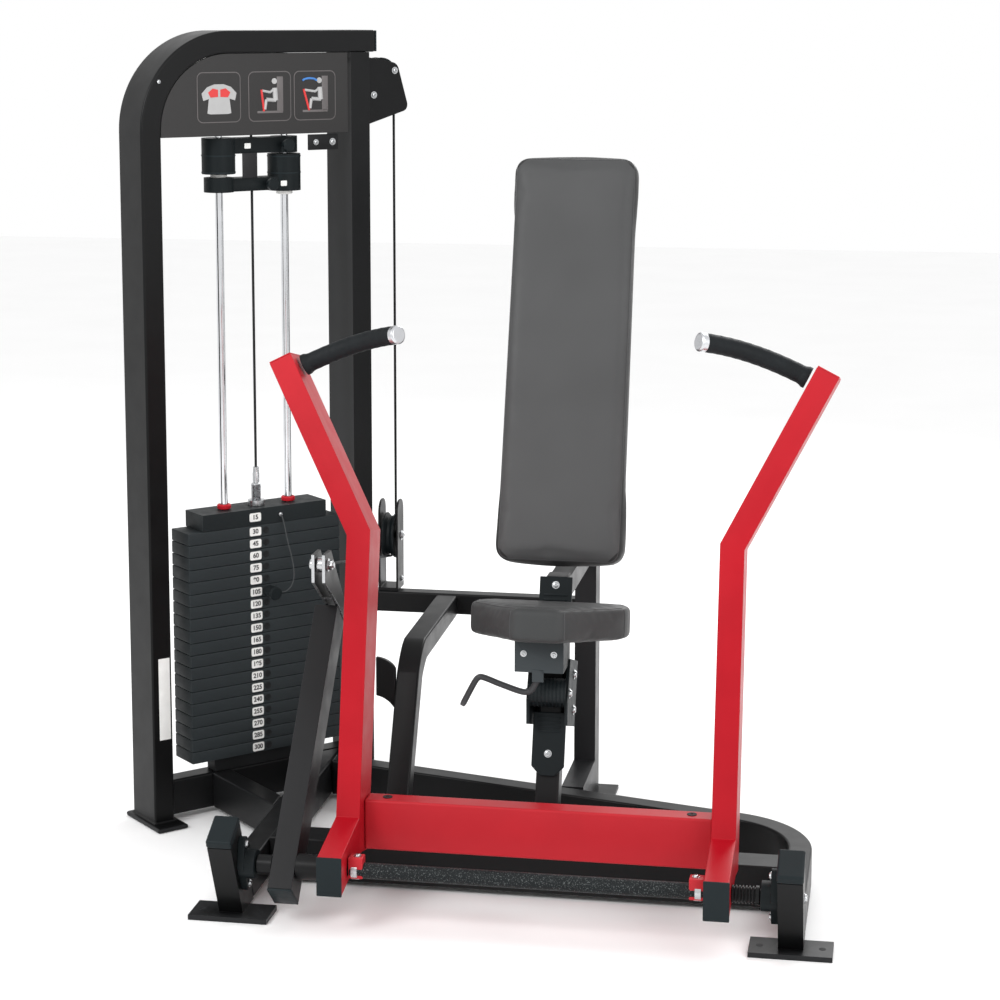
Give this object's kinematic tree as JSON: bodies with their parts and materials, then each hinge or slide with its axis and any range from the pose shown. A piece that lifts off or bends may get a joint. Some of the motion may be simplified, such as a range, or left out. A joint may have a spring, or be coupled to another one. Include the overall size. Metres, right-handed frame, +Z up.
{
  "type": "chest press machine",
  "caption": "Selectorised chest press with a weight stack tower, low curved base, adjustable seat, back pad and floor-pivoted press arms joined to the stack by a cable.",
  "frame": {"origin": "on the floor, under the middle of the bounding box", "axes": "+Z up, -Y the way the seated user faces, +X to the right as seen from the front of the machine with the weight tower on the left"},
  "size_m": [1.6438, 1.1388, 1.8],
  "materials": {
    "frame_black": "satin black powder coat",
    "arm_red": "satin red powder coat",
    "lever_grey": "dark grey powder coat",
    "plate_dark": "dark coated plates",
    "plastic_dark": "moulded dark plastic",
    "rubber_black": "black rubber and nylon-coated cable",
    "vinyl_grey": "mid grey upholstery vinyl",
    "vinyl_dark": "dark grey upholstery vinyl",
    "rod_chrome": "polished hard chrome",
    "bright_steel": "zinc-plated steel",
    "grip_aluminium": "turned aluminium"
  },
  "bodies": {
    "frame": {"tower_hoop": "frame_black", "tower_rear_upright": "frame_black", "tower_bottom_beam": "frame_black", "guide_rod_left": "rod_chrome", "guide_rod_right": "rod_chrome", "placard": "plastic_dark", "resting_plates": "plate_dark", "stack_bumper": "rubber_black", "addon_upper": "plastic_dark", "front_pulley_bracket": "frame_black", "upper_pulley_guard": "frame_black", "lower_pulley_bracket": "frame_black", "upper_cable": "rubber_black", "left_post": "frame_black", "left_post_cap": "plastic_dark", "left_bearing": "plastic_dark", "right_post": "frame_black", "right_post_cap": "plastic_dark", "right_bearing": "plastic_dark", "left_base_tube": "frame_black", "cross_tube": "frame_black", "tower_brace_tube": "frame_black", "curved_base_tube": "frame_black", "back_upright": "frame_black", "rear_beam": "frame_black", "curved_brace": "frame_black", "brace_bracket": "frame_black", "back_pad": "vinyl_grey", "back_pad_bracket": "frame_black", "rail_cover_lower": "plastic_dark", "rail_cover_upper": "plastic_dark", "seat_rail": "frame_black"},
    "press_arms": {"left_arm": "arm_red", "right_arm": "arm_red", "cross_beam": "arm_red", "left_grip": "rubber_black", "right_grip": "rubber_black", "left_grip_end": "grip_aluminium", "right_grip_end": "grip_aluminium", "pivot_shaft": "bright_steel", "textured_bar": "rubber_black", "lever": "lever_grey", "lever_clevis": "bright_steel"},
    "stack": {"lifted_plates": "plate_dark", "head_plate": "plate_dark", "selector_rod": "bright_steel", "tower_cable": "rubber_black", "pin_lanyard": "plastic_dark"},
    "pin": {"selector_pin": "plastic_dark"},
    "eye": {"cable_eye": "bright_steel", "lever_cable": "rubber_black"},
    "front_wheel": {"top_pulley_front": "plastic_dark"},
    "rear_wheel": {"top_pulley_rear": "plastic_dark"},
    "low_wheel": {"lower_pulley": "plastic_dark"},
    "addon": {"addon_lower": "plastic_dark"},
    "addon_pin": {"addon_knob": "plastic_dark"},
    "seat": {"seat_pad": "vinyl_dark", "seat_carriage": "plate_dark"},
    "handle": {"seat_handle": "bright_steel"}
  },
  "joints": [
    {"name": "press", "type": "hinge", "parent": "frame", "child": "press_arms", "pos_m": [0.16994, -0.48826, 0.12], "axis": [1, 0, 0], "range_deg": [0, 30]},
    {"name": "stack_lift", "type": "slide", "parent": "frame", "child": "stack", "axis": [0, 0, 1], "range_m": [0, 0.3258], "deforming": ["tower_cable"]},
    {"name": "eye_turn", "type": "hinge", "parent": "press_arms", "child": "eye", "pos_m": [-0.27393, -0.21326, 0.686], "axis": [1, 0, 0], "range_deg": [-30, 0]},
    {"name": "front_wheel_turn", "type": "hinge", "parent": "frame", "child": "front_wheel", "pos_m": [-0.51647, 0.29204, 1.69], "axis": [-0.7071, 0.7071, 0], "range_deg": [0, 445]},
    {"name": "rear_wheel_turn", "type": "hinge", "parent": "frame", "child": "rear_wheel", "pos_m": [-0.30363, 0.50488, 1.69], "axis": [-0.7071, 0.7071, 0], "range_deg": [0, 445]},
    {"name": "low_wheel_turn", "type": "hinge", "parent": "frame", "child": "low_wheel", "pos_m": [-0.27393, 0.48458, 0.601], "axis": [-1, 0, 0], "range_deg": [0, 374]},
    {"name": "pin_pull", "type": "slide", "parent": "stack", "child": "pin", "axis": [0.7071, -0.7071, 0], "range_m": [0, 0.06]},
    {"name": "addon_slide", "type": "slide", "parent": "frame", "child": "addon", "axis": [0, 0, 1], "range_m": [-0.3, 0]},
    {"name": "addon_knob_pull", "type": "slide", "parent": "addon", "child": "addon_pin", "axis": [0.7071, -0.7071, 0], "range_m": [0, 0.009], "stiffness_N_per_m": 600},
    {"name": "seat_height", "type": "slide", "parent": "frame", "child": "seat", "axis": [0, 0.2924, 0.9563], "range_m": [-0.15, 0.02]},
    {"name": "seat_handle_turn", "type": "hinge", "parent": "seat", "child": "handle", "pos_m": [0.19394, -0.22626, 0.47], "axis": [0, 1, 0], "range_deg": [0, 18], "stiffness_Nm_per_rad": 1.5, "springref_deg": -11.46}
  ],
  "couplings": [
    {"joint": "stack_lift", "follows": "press", "m_per_rad": 0.62211},
    {"joint": "eye_turn", "follows": "press", "ratio": -0.9988},
    {"joint": "front_wheel_turn", "follows": "press", "ratio": 14.812},
    {"joint": "rear_wheel_turn", "follows": "press", "ratio": 14.812},
    {"joint": "low_wheel_turn", "follows": "press", "ratio": 12.442}
  ]
}
